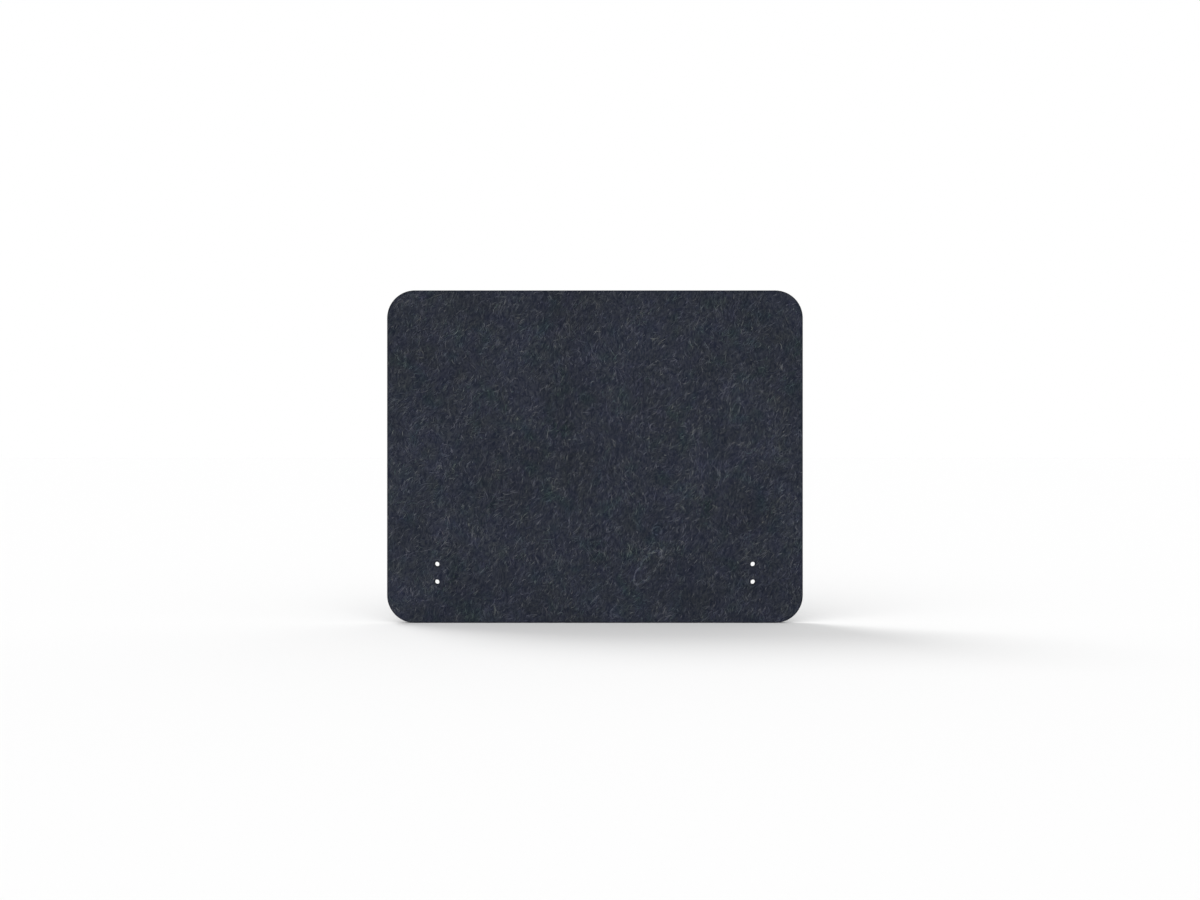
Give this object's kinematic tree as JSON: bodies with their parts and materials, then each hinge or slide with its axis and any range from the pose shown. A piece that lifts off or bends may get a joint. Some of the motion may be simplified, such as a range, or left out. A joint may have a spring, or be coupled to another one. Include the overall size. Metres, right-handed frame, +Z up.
{
  "type": "acoustic divider screen",
  "caption": "Thin upright acoustic divider screen of marled navy felt, a rounded rectangle that stands on its bottom edge, with bracket holes low at each side.",
  "frame": {"origin": "middle of the bottom edge, half way through the thickness", "axes": "+X along the screen's width, to the right when its front is seen; +Y through its thickness, from the front face to the rear face; +Z up"},
  "size_m": [0.75, 0.012, 0.6],
  "materials": {
    "face_felt": "marled navy needled polyester felt, matt, with pale loose fibres",
    "core_felt": "denser pressed polyester fibre board, matt, seen only at the cut edges and in the holes",
    "bond_web": "dark hot-melt web, seen only as a thin line at the cut edges"
  },
  "bodies": {
    "root": {"front_face_felt": "face_felt", "front_bond_web": "bond_web", "core_board": "core_felt", "rear_bond_web": "bond_web", "rear_face_felt": "face_felt"}
  },
  "joints": []
}
